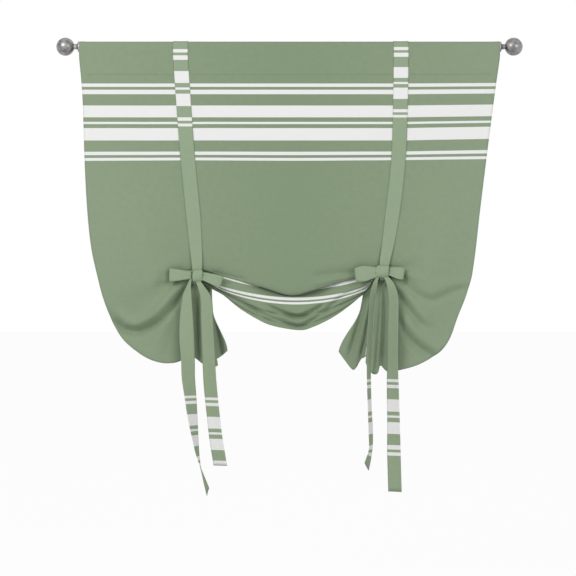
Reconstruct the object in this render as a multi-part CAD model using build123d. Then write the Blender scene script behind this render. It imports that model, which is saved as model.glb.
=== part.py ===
# A tie-up curtain: one flat panel of cloth on a rod, drawn up by two pairs of ties.
# Millimetres. The origin is on the rod's axis, midway along it. The front faces -Y and +Z is up.
from build123d import *
from math import cos, exp, hypot, pi, radians, sin
import os

os.makedirs("parts", exist_ok=True)

# Cloth, as it was cut and hemmed
cloth_width = 1168.4
cloth_length = 1600.2
cloth_thickness = 1.2
soft_gap = 0.3

# Rod: an outer tube with a thinner one sliding in it, inside the cloth's pocket
rod_end_show = 0.8
outer_tube_diameter = 25.4
outer_tube_length = 760.0
tube_wall = 1.2
tube_running_gap = 0.1
tube_overlap = 380.0
pocket_slack = 0.4
pocket_depth = 78.0

# Finials, each screwed by a stud to a plug in its end of the rod
ball_diameter = 50.0
neck_diameter = 15.0
neck_length = 7.0
collar_diameter = 29.0
collar_length = 6.0
collar_lip = 1.5
plug_length = 24.0
plug_gap = 0.05
stud_diameter = 6.0
stud_gap = 0.05
stud_length = 30.0
stud_end_gap = 0.5

# Ties: where each is sewn to the top edge, and where its knot hangs
tie_width = 41.0
tie_thickness = 1.2
side_hem_inset = 1.2
left_tie_top_x = -302.0
right_tie_top_x = 309.0
left_knot_x = -257.0
left_knot_z = -636.0
right_knot_x = 262.0
right_knot_z = -624.0
knot_width = 22.0
knot_height = 30.0
knot_depth = 14.0
knot_wrap = 2.6
knot_round = 3.0
knot_clearance = 8.0
loop_lead = 7.0
bunch_width = 28.0
bunch_height = 36.0
bunch_front_y = -13.5
bunch_back_y = 18.0

# Panel between the ties: how low the folds and the swag hang in the middle
fold_line_z = -690.0
first_tuck_z = -470.0
swag_hem_z = -784.0
tuck_pitch = 10.0

rod_length = cloth_width + 2 * rod_end_show
axis_to_cloth = outer_tube_diameter / 2 + pocket_slack + cloth_thickness / 2
panel_y = -axis_to_cloth


def smooth(points, steps=12):
    """A rounded path through a few points, as a fine list of short steps."""
    ends = [points[0]] + list(points) + [points[-1]]
    path = []
    for a, b, c, d in zip(ends, ends[1:], ends[2:], ends[3:]):
        for step in range(steps):
            t = step / steps
            path.append(tuple(
                0.5 * (2 * q + (r - p) * t + (2 * p - 5 * q + 4 * r - s) * t**2
                       + (3 * q - p - 3 * r + s) * t**3)
                for p, q, r, s in zip(a, b, c, d)))
    path.append(tuple(points[-1]))
    return path


def measured(path):
    """The distance from the start of a path to each of its points."""
    distance = [0.0]
    for a, b in zip(path, path[1:]):
        distance.append(distance[-1] + hypot(*(q - p for p, q in zip(a, b))))
    return distance


class Route:
    """A rounded route through a few points, walked by a fraction of its length."""

    def __init__(self, points):
        self.path = smooth(points)
        self.distance = measured(self.path)

    def at(self, fraction):
        goal = min(max(fraction, 0.0), 1.0) * self.distance[-1]
        low, high = 0, len(self.distance) - 1
        while high - low > 1:
            middle = (low + high) // 2
            if self.distance[middle] <= goal:
                low = middle
            else:
                high = middle
        span = self.distance[high] - self.distance[low]
        part = (goal - self.distance[low]) / span if span else 0.0
        return tuple(p + part * (q - p) for p, q in zip(self.path[low], self.path[high]))


def mix(a, b, part):
    return tuple(p + part * (q - p) for p, q in zip(a, b))


def ease(value):
    value = min(max(value, 0.0), 1.0)
    return value * value * (3 - 2 * value)


# The pocket's section, from its seam behind the panel up and over the rod and a little way down
header_run = 30.0
seam_y = panel_y + cloth_thickness + soft_gap
pocket_rows = [(seam_y, -pocket_depth - 14), (seam_y, -pocket_depth), (seam_y + 4, -pocket_depth + 14),
               (seam_y + 14, -pocket_depth + 43)]
pocket_rows += [(axis_to_cloth * cos(radians(a)), axis_to_cloth * sin(radians(a)))
                for a in (-19, 10, 40, 70, 100, 130, 160, 180)]
pocket_rows += [(panel_y, -header_run / 2)]

# The side hems: down the outline, round under each lobe, then to and fro as the pleats below the knot.
# The first number of a point is its share of the way from the knot to the cloth's side edge.
def hem_route(knot_x, points):
    side = 1 if knot_x > 0 else -1
    reach = cloth_width / 2 - abs(knot_x)
    return Route([(knot_x + side * reach * share, y, z) for share, y, z in points])


left_top = 1 - side_hem_inset / (cloth_width / 2 + left_knot_x)
right_top = 1 - side_hem_inset / (cloth_width / 2 - right_knot_x)
left_outline = hem_route(left_knot_x, [
    (left_top, panel_y, -header_run), (0.966, -15, -142), (0.947, -16, -326), (0.923, -20, -459),
    (0.889, -24, -559), (0.856, -26, -636)])
left_lobe_hem = hem_route(left_knot_x, [
    (0.856, -26, -636), (0.804, -26, -692), (0.737, -20, -745), (0.694, -16, -775),
    (0.608, -16, -817), (0.449, -18, -858), (0.312, -20, -876), (0.193, -18, -877),
    (0.101, -10, -867), (0.028, -2, -862), (-0.052, -9, -880), (-0.131, -9, -889),
    (-0.177, 0, -884), (-0.138, 10, -878), (-0.021, 11, -868), (0.04, 19, -862),
    (-0.021, 28, -862), (-0.156, 33, -868), (-0.257, 30, -845)])
right_outline = hem_route(right_knot_x, [
    (right_top, panel_y, -header_run), (0.947, -15, -142), (0.875, -16, -326), (0.819, -20, -467),
    (0.767, -24, -564), (0.726, -26, -636)])
right_lobe_hem = hem_route(right_knot_x, [
    (0.726, -26, -636), (0.68, -26, -692), (0.63, -22, -750), (0.568, -18, -806), (0.5, -17, -839),
    (0.413, -17, -861), (0.286, -18, -883), (0.146, -20, -896), (0.043, -10, -892),
    (-0.012, -6, -898), (-0.093, -10, -904), (-0.155, 0, -886), (-0.093, 12, -878),
    (-0.05, 20, -874), (-0.118, 30, -872), (-0.223, 22, -886), (-0.304, 22, -880),
    (-0.388, 26, -847)])

# The tie columns, from the top edge down to where the cloth is gathered
left_column = Route([
    (left_tie_top_x, panel_y, -header_run), (-293, -14.6, -160), (-281, -15, -320), (-266, -15, -480),
    (left_knot_x, bunch_front_y - 1, left_knot_z + bunch_height / 2)])
right_column = Route([
    (right_tie_top_x, panel_y, -header_run), (307, -14.6, -160), (301, -15, -320), (282, -15, -480),
    (right_knot_x, bunch_front_y - 1, right_knot_z + bunch_height / 2)])

# The middle of the panel: down to its fold line, up and down behind it, and down again to the hem
middle_panel = Route([
    (panel_y, -header_run), (-15, -160), (-17, -320), (-21, -480), (-22, -600), (-21, -636)])
front_y = -19.0
middle_tucks = Route([
    (-21, -636), (front_y - 2, fold_line_z + 24), (front_y, fold_line_z + 6),
    (front_y + 6, fold_line_z), (front_y + tuck_pitch + 2, fold_line_z + 8),
    (front_y + tuck_pitch + 4, fold_line_z + 60), (front_y + tuck_pitch + 4, first_tuck_z - 30),
    (front_y + tuck_pitch + 12, first_tuck_z), (front_y + 2 * tuck_pitch + 8, first_tuck_z - 16),
    (front_y + 3 * tuck_pitch, first_tuck_z - 80), (front_y + 3 * tuck_pitch, fold_line_z + 20),
    (front_y + 2.4 * tuck_pitch, fold_line_z - 26), (front_y + 3.6 * tuck_pitch, fold_line_z - 46),
    (front_y + 2.2 * tuck_pitch, fold_line_z - 66), (front_y + 2.8 * tuck_pitch, swag_hem_z)])

valley_depth = 20.0
valley_width = 0.05
lobe_swell = 20.0


def bunch(knot_x, knot_z, side, part):
    """Where the gathered rows pass the tie: front and top first, back and bottom last."""
    return (knot_x + side * bunch_width / 2,
            bunch_front_y + part * (bunch_back_y - bunch_front_y),
            knot_z + bunch_height * (0.5 - part))


def lobe_point(knot, hem, side, reach, part):
    """A point of the fan of cloth outside a knot: reach runs from the knot to the side hem."""
    start = bunch(knot[0], knot[1], side, part)
    end = hem.at(part)
    x = start[0] + (end[0] - start[0]) * reach ** (1.0 + 0.6 * ease(part * 1.6))
    z = start[2] + (end[2] - start[2]) * reach
    y = start[1] + (end[1] - start[1]) * reach
    front = 1 - ease((part - 0.30) / 0.25)
    valley = 0.26 - 0.12 * reach
    y -= lobe_swell * sin(pi * reach) ** 2 * front
    y += valley_depth * ease(reach * 2.5) * exp(-((part - valley) / valley_width) ** 2)
    return (x, y, z)


def swag_point(across, part):
    """A point between the knots: across runs from the left knot to the right one."""
    left = bunch(left_knot_x, left_knot_z, 1, part)
    right = bunch(right_knot_x, right_knot_z, -1, part)
    chord = mix(left, right, across)
    centre = mix(left, right, 0.5)
    y, z = middle_tucks.at(part)
    hang = 4 * across * (1 - across)
    return (chord[0], chord[1] + hang * (y - centre[1]), chord[2] + hang * (z - centre[2]))


def panel_point(zone, across, part):
    """A point of the flat part above the knots, in one of its three widths."""
    if zone == "middle":
        left = left_column.at(part)
        right = right_column.at(part)
        chord = mix(left, right, across)
        centre = mix(left, right, 0.5)
        y, z = middle_panel.at(part)
        hang = 4 * across * (1 - across)
        return (chord[0], chord[1] + hang * (y - centre[1]), chord[2] + hang * (z - centre[2]))
    column = left_column if zone == "left" else right_column
    outline = left_outline if zone == "left" else right_outline
    point = mix(column.at(part), outline.at(part), across)
    swell = lobe_swell * sin(pi * across) ** 2 * ease((part - 0.45) / 0.55)
    return (point[0], point[1] - swell, point[2])


lobe_places = (0.0, 0.08, 0.25, 0.55, 1.0)
swag_places = (0.0, 0.06, 0.2, 0.35, 0.5, 0.65, 0.8, 0.94, 1.0)
lobe_columns = len(lobe_places) - 1
swag_columns = len(swag_places) - 1
panel_rows = 7
gather_rows = 30
panel_share = 0.4
panel_row = cloth_length * panel_share / panel_rows
gather_row = cloth_length * (1 - panel_share) / gather_rows


def column_places():
    """Each column of the sheet: its zone and its place across that zone."""
    places = [("left", place) for place in reversed(lobe_places)]
    places += [("middle", place) for place in swag_places]
    places += [("right", place) for place in lobe_places]
    return places


def sheet_column(zone, across):
    """The middle line of the cloth down one column, from the pocket's seam to the hem."""
    start = panel_point(zone, across, 0)
    half = bunch_width / 2
    shift = {"left": across - 1, "middle": 1 - 2 * across, "right": 1 - across}[zone] * half
    rows = [(start[0] + shift,) + row for row in pocket_rows]
    for i in range(panel_rows):
        part = i / panel_rows
        slow = (1 - across) if zone != "middle" else abs(2 * across - 1)
        part += ease(slow) * ((1 - (1 - part) ** 2.4) - part)
        x, y, z = panel_point(zone, across, part)
        rows.append((x + shift, y, z))
    for i in range(gather_rows + 1):
        part = i / gather_rows
        if zone == "middle":
            rows.append(swag_point(across, part))
        elif zone == "left":
            rows.append(lobe_point((left_knot_x, left_knot_z), left_lobe_hem, -1, across, part))
        else:
            rows.append(lobe_point((right_knot_x, right_knot_z), right_lobe_hem, 1, across, part))
    return [Vector(*row) for row in rows]


def thick_sheet(grid, thickness, places, paired=()):
    """A solid of even thickness about a grid of points, ruled from column to column.

    Paired columns bound a band of their own, so their thickness is set square to that band.
    """
    last_column, last_row = len(grid) - 1, len(grid[0]) - 1
    front, back = [], []
    for i, column in enumerate(grid):
        front.append([])
        back.append([])
        before = 0 if i in paired[0::2] else 1
        after = 0 if i in paired[1::2] else 1
        for j, point in enumerate(column):
            along = grid[i][min(j + 1, last_row)] - grid[i][max(j - 1, 0)]
            across = grid[min(i + after, last_column)][j] - grid[max(i - before, 0)][j]
            normal = across.cross(along).normalized() * (thickness / 2)
            front[i].append(point + normal)
            back[i].append(point - normal)
    front_edges = [Edge.make_spline(column, parameters=places) for column in front]
    back_edges = [Edge.make_spline(column, parameters=places) for column in back]
    faces = []
    for edges in (front_edges, back_edges):
        faces += [Face.make_surface_from_curves(a, b) for a, b in zip(edges, edges[1:])]
    for i in (0, last_column):
        faces.append(Face.make_surface_from_curves(front_edges[i], back_edges[i]))
    for j in (0, last_row):
        for i in range(last_column):
            faces.append(Face.make_surface_from_curves(
                Edge.make_line(front[i][j], front[i + 1][j]),
                Edge.make_line(back[i][j], back[i + 1][j])))
    return Solid(Shell(faces))


def curtain_panel():
    grid = [sheet_column(*place) for place in column_places()]
    down = measured(pocket_rows + [(panel_y, -header_run)])
    down += [down[-1] + panel_row * (i + 1) for i in range(panel_rows)]
    down += [down[-1] + gather_row * (i + 1) for i in range(gather_rows)]
    places = [distance / down[-1] for distance in down]
    right_band = lobe_columns + swag_columns + 1
    return thick_sheet(grid, cloth_thickness, places,
                       (lobe_columns + 1, lobe_columns, right_band + 1, right_band))


def ribbon(stations, thickness=tie_thickness):
    """A flat strip along stations of middle point, width and direction of the width."""
    grid = [[], []]
    for (x, y, z), width, direction in stations:
        for column, side in zip(grid, (-0.5, 0.5)):
            column.append(Vector(x, y, z) + Vector(*direction) * (side * width))
    distance = measured([station[0] for station in stations])
    return thick_sheet(grid, thickness, [d / distance[-1] for d in distance])


def across_at(twist):
    """The direction of a strap's width: straight across the curtain, turned by the twist."""
    return (cos(radians(twist)), sin(radians(twist)), 0)


def front_strap(column, knot_x, knot_z):
    """From behind the top edge, over it and down the front to the knot."""
    radius = axis_to_cloth + cloth_thickness / 2 + soft_gap + tie_thickness / 2
    top_x = column.at(0)[0]
    stations = []
    for angle in (70, 90, 110, 130, 150, 170):
        stations.append(((top_x, radius * cos(radians(angle)), radius * sin(radians(angle))),
                         tie_width, (1, 0, 0)))
    lift = cloth_thickness / 2 + soft_gap + tie_thickness / 2
    stations.append(((top_x, panel_y - lift, -header_run / 2), tie_width, (1, 0, 0)))
    for part in (0, 0.12, 0.28, 0.45, 0.6, 0.75, 0.88):
        x, y, z = column.at(part)
        stations.append(((x, y - lift - part, z), tie_width - 3 * part, (1, 0, 0)))
    stations.append(((knot_x, knot_back - 0.2, knot_z + 27), tie_width - 10, (1, 0, 0)))
    stations.append(((knot_x, knot_back - 1.4, knot_z + 9), knot_width - 2, (1, 0, 0)))
    stations.append(((knot_x, knot_back - 1.8, knot_z + 1), knot_width - 4, (1, 0, 0)))
    return ribbon(stations)


def back_strap(column, knot_x, knot_z):
    """From the top edge down behind the curtain, under the gathers and forward to the knot."""
    radius = axis_to_cloth + cloth_thickness / 2 + soft_gap + tie_thickness / 2
    top_x = column.at(0)[0]
    stations = []
    for angle in (62, 45, 30, 15, 0):
        stations.append(((top_x, radius * cos(radians(angle)), radius * sin(radians(angle))),
                         tie_width, (1, 0, 0)))
    for part in (0.12, 0.3, 0.5, 0.7, 0.85):
        x, y, z = column.at(part)
        stations.append(((x, radius + part * 10, z), tie_width - 3 * part, (1, 0, 0)))
    under = knot_z - bunch_height / 2 - 6
    narrow = knot_width - 2
    for y, z, width in ((bunch_back_y + 8, knot_z + 22, tie_width - 14),
                        (bunch_back_y + 8, knot_z - 6, narrow),
                        (bunch_back_y + 2, under + 2, narrow), (bunch_back_y - 10, under - 1, narrow),
                        (0, under, narrow), (bunch_front_y - 1, under + 5, narrow),
                        (knot_back - 2, knot_z - knot_height / 2 + 0.9, narrow),
                        (knot_back - knot_depth / 2, knot_z - knot_height / 2 + 1.2, narrow)):
        stations.append(((knot_x, y, z), width, (1, 0, 0)))
    return ribbon(stations)


def bow_loop(root, side, length, root_height, end_height, tilt, fullness):
    """One loop of a bow: out from the knot in front, round, and back in behind."""
    plan = ((0, -0.25), (0.3, -0.7), (0.6, -1), (0.85, -0.9), (0.97, -0.5), (1, 0),
            (0.97, 0.5), (0.85, 0.9), (0.6, 0.95), (0.3, 0.55), (0, 0.25))
    stations = []
    for reach, swell in plan:
        distance = reach * length
        height = root_height + (end_height - root_height) * reach
        place = (root[0] + side * distance * cos(radians(tilt)),
                 root[1] - loop_lead * reach + fullness * swell,
                 root[2] - distance * sin(radians(tilt)))
        lean = radians(tilt) * side
        stations.append((place, height, (sin(lean), 0, cos(lean))))
    return ribbon(stations)


def tail(stations):
    return ribbon([((x, y, z), width, across_at(twist)) for x, y, z, width, twist in stations])


knot_back = panel_y - knot_clearance
knot_front = knot_back - knot_depth
core_offset = 3.5


def knot_core(knot_x, knot_z):
    """The inside of the knot, which the wrap of the other tie goes round."""
    core = Box(knot_width, knot_depth - knot_wrap, knot_height - 2 * knot_wrap,
               align=(Align.CENTER, Align.MIN, Align.CENTER))
    core = Pos(knot_x - core_offset, knot_front + knot_wrap, knot_z) * core
    return fillet(core.edges().filter_by(Axis.X), knot_round * 0.6)


def knot_wrap_band(knot_x, knot_z):
    """The wrap over the front of a knot, open behind where the strap comes in."""
    gap = soft_gap
    band = Box(knot_width, knot_depth - 3, knot_height,
               align=(Align.CENTER, Align.MIN, Align.CENTER))
    band = fillet(band.edges().filter_by(Axis.X), knot_round)
    hollow = Box(knot_width, knot_depth, knot_height - 2 * knot_wrap + 2 * gap,
                 align=(Align.MAX, Align.MIN, Align.CENTER))
    hollow = Pos(knot_width / 2 - core_offset + gap, knot_wrap - gap, 0) * hollow
    return Pos(knot_x, knot_front, knot_z) * (band - hollow)


def left_ties():
    x, z = left_knot_x, left_knot_z
    middle = knot_front + knot_depth / 2
    front_tie = front_strap(left_column, x, z) + knot_core(x, z)
    front_tie += bow_loop((x - knot_width / 2 - 1.2, middle, z + 2), -1, 60, 21, 39, 0, 6)
    front_tie += tail((
        (x - 14, middle - 1, z - 4, 4, 0), (x - 21, middle - 4, z - 28, 12, 10),
        (x - 26, -37, z - 64, 26, 4), (x - 27, -39, z - 150, 40, 10), (x - 23, -39, z - 233, 40, 22),
        (x - 22, -37, z - 280, 40, 28), (x - 16, -35, z - 336, 40, 40), (x - 11, -33, z - 386, 40, 50),
        (x - 4, -31, z - 442, 40, 66), (x + 4, -30, z - 500, 40, 81), (x + 11, -29, z - 550, 40, 97),
        (x + 16, -28, z - 596, 40, 110)))
    back_tie = back_strap(left_column, x, z) + knot_wrap_band(x, z)
    back_tie += bow_loop((x + knot_width / 2 + 0.2, middle, z + 1), 1, 60, 21, 33, 18, 6)
    back_tie += tail((
        (x + 4, middle - 2, z - 13.8, 13, 0), (x + 14, -37, z - 32, 20, -8), (x + 26, -38, z - 62, 32, -20),
        (x + 29, -38, z - 130, 38, -28), (x + 34, -36, z - 228, 39, -26), (x + 38, -35, z - 300, 40, -25),
        (x + 47, -33, z - 390, 40, -25), (x + 54, -32, z - 450, 40, -22), (x + 66, -31, z - 524, 40, -20)))
    return front_tie, back_tie


def right_ties():
    x, z = right_knot_x, right_knot_z
    middle = knot_front + knot_depth / 2
    front_tie = front_strap(right_column, x, z) + knot_core(x, z)
    front_tie += bow_loop((x - knot_width / 2 - 1.2, middle, z - 2), -1, 70, 22, 38, 4, 6)
    front_tie += tail((
        (x - 14, middle - 1, z - 5, 4, 0), (x - 25, middle - 4, z - 32, 14, 30), (x - 34, -36, z - 80, 30, 62),
        (x - 40, -38, z - 160, 38, 68), (x - 43, -38, z - 224, 40, 72), (x - 43, -37, z - 300, 40, 73),
        (x - 41, -35, z - 370, 40, 74), (x - 38, -33, z - 440, 40, 72), (x - 38, -32, z - 490, 40, 74),
        (x - 45, -31, z - 548, 40, 66)))
    back_tie = back_strap(right_column, x, z) + knot_wrap_band(x, z)
    back_tie += bow_loop((x + knot_width / 2 - 1.0, middle, z), 1, 42, 21, 34, 10, 7)
    back_tie += tail((
        (x + 4, middle - 2, z - 13.8, 13, 0), (x + 16, -37, z - 34, 22, -20), (x + 24, -38, z - 76, 34, -40),
        (x + 23, -38, z - 160, 38, -44), (x + 22, -37, z - 250, 39, -44), (x + 23, -36, z - 330, 40, -38),
        (x + 25, -34, z - 420, 40, -34), (x + 26, -33, z - 500, 40, -26), (x + 29, -32, z - 608, 40, -26)))
    return front_tie, back_tie


def tube(start_x, length, diameter, wall):
    along = Plane(origin=(start_x, 0, 0), x_dir=(0, 1, 0), z_dir=(1, 0, 0))
    return extrude(along * (Circle(diameter / 2) - Circle(diameter / 2 - wall)), length)


def rod_pin(start_x, length, diameter):
    along = Plane(origin=(start_x, 0, 0), x_dir=(0, 1, 0), z_dir=(1, 0, 0))
    return extrude(along * Circle(diameter / 2), length)


def finial(side):
    """A ball on a neck and a flared collar, turned in one piece and drilled for its stud."""
    ball, neck, collar = ball_diameter / 2, neck_diameter / 2, collar_diameter / 2
    neck_end = collar_length + neck_length
    ball_centre = neck_end + (ball**2 - neck**2) ** 0.5
    flare = (collar_lip + 0.3 * (collar_length - collar_lip), neck + 0.35 * (collar - neck))
    outline = Polyline((0, 0), (0, collar), (collar_lip, collar))
    outline += ThreePointArc((collar_lip, collar), flare, (collar_length, neck))
    outline += Line((collar_length, neck), (neck_end, neck))
    outline += ThreePointArc((neck_end, neck), (ball_centre, ball), (ball_centre + ball, 0))
    outline += Line((ball_centre + ball, 0), (0, 0))
    turned = revolve(make_face(outline), Axis.X)
    turned -= rod_pin(-1, stud_length / 2 + stud_end_gap + 1, stud_diameter + 2 * stud_gap)
    if side < 0:
        turned = mirror(turned, about=Plane.YZ)
    return Pos(side * rod_length / 2, 0, 0) * turned


def end_plug(side, bore):
    """The plug pressed into one end of the rod, tapped through for the stud."""
    inner_end = side * rod_length / 2 - (plug_length if side > 0 else 0)
    plug = rod_pin(inner_end, plug_length, bore - 2 * plug_gap)
    return plug - rod_pin(inner_end - 1, plug_length + 2, stud_diameter + 2 * stud_gap)


def finial_stud(side):
    return rod_pin(side * rod_length / 2 - stud_length / 2, stud_length, stud_diameter)


outer_bore = outer_tube_diameter - 2 * tube_wall
inner_tube_diameter = outer_bore - 2 * tube_running_gap
inner_bore = inner_tube_diameter - 2 * tube_wall
outer_tube_end = -rod_length / 2 + outer_tube_length
inner_tube_start = outer_tube_end - tube_overlap

left_front_tie, left_back_tie = left_ties()
right_front_tie, right_back_tie = right_ties()
nodes = {
    "rod_outer_tube": tube(-rod_length / 2, outer_tube_length, outer_tube_diameter, tube_wall),
    "rod_inner_tube": tube(inner_tube_start, rod_length / 2 - inner_tube_start,
                           inner_tube_diameter, tube_wall),
    "left_end_plug": end_plug(-1, outer_bore),
    "right_end_plug": end_plug(1, inner_bore),
    "left_finial": finial(-1),
    "right_finial": finial(1),
    "left_finial_stud": finial_stud(-1),
    "right_finial_stud": finial_stud(1),
    "curtain_panel": curtain_panel(),
    "left_front_tie": left_front_tie,
    "left_back_tie": left_back_tie,
    "right_front_tie": right_front_tie,
    "right_back_tie": right_back_tie,
}
for name, solid in nodes.items():
    export_step(solid, f"parts/{name}.step")
    print(name, round(solid.volume), "mm3", "valid" if solid.is_valid else "NOT VALID",
          len(solid.solids()), "solids")
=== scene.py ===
# %% [markdown]
# This is a tie-up curtain: one flat panel of striped cloth on a rod, drawn up by two pairs of
# ties. The frame gives every solid its true place, and this lesson dresses it in cloth.
# The frame's solids could be shown as they are, but cloth needs finer folds than a solid has,
# so the panel and the ties are made again here as sheets that follow the same routes.

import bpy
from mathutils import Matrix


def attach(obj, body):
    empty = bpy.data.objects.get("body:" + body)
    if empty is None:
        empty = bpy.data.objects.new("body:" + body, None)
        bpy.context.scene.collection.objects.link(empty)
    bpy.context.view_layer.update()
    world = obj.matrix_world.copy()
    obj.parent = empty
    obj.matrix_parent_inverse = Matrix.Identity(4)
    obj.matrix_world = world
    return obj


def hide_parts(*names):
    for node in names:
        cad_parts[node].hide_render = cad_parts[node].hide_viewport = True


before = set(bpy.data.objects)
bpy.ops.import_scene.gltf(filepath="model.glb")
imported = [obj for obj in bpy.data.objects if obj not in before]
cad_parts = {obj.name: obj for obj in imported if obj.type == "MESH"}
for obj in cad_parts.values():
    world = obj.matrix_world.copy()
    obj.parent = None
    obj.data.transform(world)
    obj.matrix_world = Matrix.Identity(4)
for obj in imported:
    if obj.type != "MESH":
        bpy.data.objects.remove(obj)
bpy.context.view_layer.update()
print("frame nodes:", ", ".join(sorted(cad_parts)))

# %% [markdown]
# The camera looks straight at the front, as the photograph does. A long lens from six metres
# keeps the rod and the ends of the ties at one scale, so sizes can be compared by eye.

# %% Place the camera
from math import cos, exp, hypot, pi, radians, sin

import bmesh
import bpy
from mathutils import Matrix, Vector, noise

FRAME_WIDTH = 1.5984
CAMERA_DISTANCE = 6.0
SENSOR = 36.0
VIEW_CENTRE = (-0.0042, -0.6696)

camera_data = bpy.data.cameras.new("camera")
camera_data.sensor_width = SENSOR
camera_data.lens = SENSOR * CAMERA_DISTANCE / FRAME_WIDTH
camera = bpy.data.objects.new("camera", camera_data)
camera.location = (VIEW_CENTRE[0], -CAMERA_DISTANCE, VIEW_CENTRE[1])
camera.rotation_euler = (pi / 2, 0, 0)
bpy.context.scene.collection.objects.link(camera)
bpy.context.scene.camera = camera
bpy.context.scene.view_settings.view_transform = "Standard"
print("lens:", round(camera_data.lens, 1), "mm")

# %% [markdown]
# The cloth is drawn in millimetres, as a pattern cutter would, and is turned into metres when a
# mesh is made. The panel is 46 by 63 inches when hemmed. A rounded route through a few points is
# the tool for every hem and fold line, and it is walked by a fraction of its length.

# %% Measure the cloth and make a route
MM = 0.001
CLOTH_WIDTH = 1168.4
CLOTH_LENGTH = 1600.2
EDGE = CLOTH_WIDTH / 2
ROUTE_STEPS = 12


def smooth(points, steps=ROUTE_STEPS):
    """A rounded path through a few points, as a fine list of short steps."""
    ends = [points[0]] + list(points) + [points[-1]]
    path = []
    for a, b, c, d in zip(ends, ends[1:], ends[2:], ends[3:]):
        for step in range(steps):
            t = step / steps
            path.append(tuple(
                0.5 * (2 * q + (r - p) * t + (2 * p - 5 * q + 4 * r - s) * t**2
                       + (3 * q - p - 3 * r + s) * t**3)
                for p, q, r, s in zip(a, b, c, d)))
    path.append(tuple(points[-1]))
    return path


class Route:
    """A rounded route through a few points, walked by a fraction of its length."""

    def __init__(self, points):
        self.path = smooth(points)
        self.distance = [0.0]
        for a, b in zip(self.path, self.path[1:]):
            self.distance.append(self.distance[-1] + hypot(*(q - p for p, q in zip(a, b))))
        self.length = self.distance[-1]

    def at(self, fraction):
        goal = min(max(fraction, 0.0), 1.0) * self.length
        low, high = 0, len(self.distance) - 1
        while high - low > 1:
            middle = (low + high) // 2
            if self.distance[middle] <= goal:
                low = middle
            else:
                high = middle
        span = self.distance[high] - self.distance[low]
        part = (goal - self.distance[low]) / span if span else 0.0
        return tuple(p + part * (q - p) for p, q in zip(self.path[low], self.path[high]))

    def share_at(self, index):
        """The share of the length walked when the route passes one of its own points."""
        return self.distance[index * ROUTE_STEPS] / self.length


def mix(a, b, part):
    """The place that lies the given part of the way from a to b."""
    return tuple(p + part * (q - p) for p, q in zip(a, b))


def ease(value):
    """A soft step: 0 up to 0, then rising to 1 at 1."""
    value = min(max(value, 0.0), 1.0)
    return value * value * (3 - 2 * value)


def spread(share, table):
    """Reads a table of (share, value) pairs at a share, in straight lines between them."""
    for (low, a), (high, b) in zip(table, table[1:]):
        if share <= high:
            return a + (b - a) * (share - low) / (high - low)
    return table[-1][1]


print("cloth:", CLOTH_WIDTH, "by", CLOTH_LENGTH, "mm")

# %% [markdown]
# The top of the panel is a pocket that the rod slides through. Its section runs from the seam
# behind the panel up and over the rod, and then a little way down the front.

# %% Lay out the pocket
PANEL_Y = -13.7
SEAM_Y = -12.2
POCKET_DEPTH = 78
HEADER_RUN = 30
pocket = Route(
    [(SEAM_Y, -POCKET_DEPTH - 14), (SEAM_Y, -POCKET_DEPTH), (SEAM_Y + 4, -POCKET_DEPTH + 14),
     (SEAM_Y + 14, -POCKET_DEPTH + 43)]
    + [(-PANEL_Y * cos(radians(a)), -PANEL_Y * sin(radians(a)))
       for a in (-19, 10, 40, 70, 100, 130, 160, 180)]
    + [(PANEL_Y, -HEADER_RUN / 2), (PANEL_Y, -HEADER_RUN)])
HEADER_V = -PANEL_Y * pi / 2 + HEADER_RUN
POCKET_V = HEADER_V - pocket.length
SEAM_V = HEADER_V + POCKET_DEPTH - HEADER_RUN
print("cloth in the pocket's back:", round(-POCKET_V), "mm")

# %% [markdown]
# Each tie gathers the panel at its knot. The side hems run down, swing out under the lobes and
# come back in pleats below the knots. A hem point's first number is its share of the way from
# the knot to the cloth's side edge, so the lobes follow the knots if these move.

# %% Draw the side hems
LEFT_KNOT = (-257, -636)
RIGHT_KNOT = (262, -624)
LEFT_TOP_X = -302
RIGHT_TOP_X = 309


def hem_route(knot_x, points):
    """A route whose points' first number runs from 0 at the knot to 1 at the cloth's side edge."""
    side = 1 if knot_x > 0 else -1
    reach = EDGE - abs(knot_x)
    return Route([(knot_x + side * reach * share, y, z) for share, y, z in points])


left_outline = hem_route(LEFT_KNOT[0], [
    (0.996, PANEL_Y, -30), (0.966, -15, -142), (0.947, -16, -326), (0.923, -20, -459),
    (0.889, -24, -559), (0.838, -26, -636)])
left_lobe_hem = hem_route(LEFT_KNOT[0], [
    (0.838, -26, -636), (0.794, -26, -692), (0.737, -20, -745), (0.694, -16, -775),
    (0.608, -16, -817), (0.449, -18, -858), (0.312, -20, -876), (0.193, -18, -877),
    (0.101, -10, -867), (0.028, -2, -862), (-0.052, -9, -880), (-0.131, -9, -889),
    (-0.177, 0, -884), (-0.138, 10, -878), (-0.021, 11, -868), (0.04, 19, -862),
    (-0.021, 28, -862), (-0.156, 33, -868), (-0.257, 30, -845)])
right_outline = hem_route(RIGHT_KNOT[0], [
    (0.996, PANEL_Y, -30), (0.947, -15, -142), (0.875, -16, -326), (0.819, -20, -467),
    (0.784, -24, -564), (0.752, -26, -636)])
right_lobe_hem = hem_route(RIGHT_KNOT[0], [
    (0.752, -26, -636), (0.70, -26, -692), (0.63, -22, -750), (0.568, -18, -806), (0.5, -17, -839),
    (0.413, -17, -861), (0.286, -18, -883), (0.146, -20, -896), (0.031, -16, -901),
    (-0.031, -2, -884), (-0.059, -14, -907), (-0.112, -12, -904), (-0.155, 4, -873),
    (-0.081, 12, -868), (-0.056, 20, -866), (-0.18, 16, -864), (-0.242, 12, -893),
    (-0.282, 16, -893), (-0.388, 26, -847)])
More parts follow.
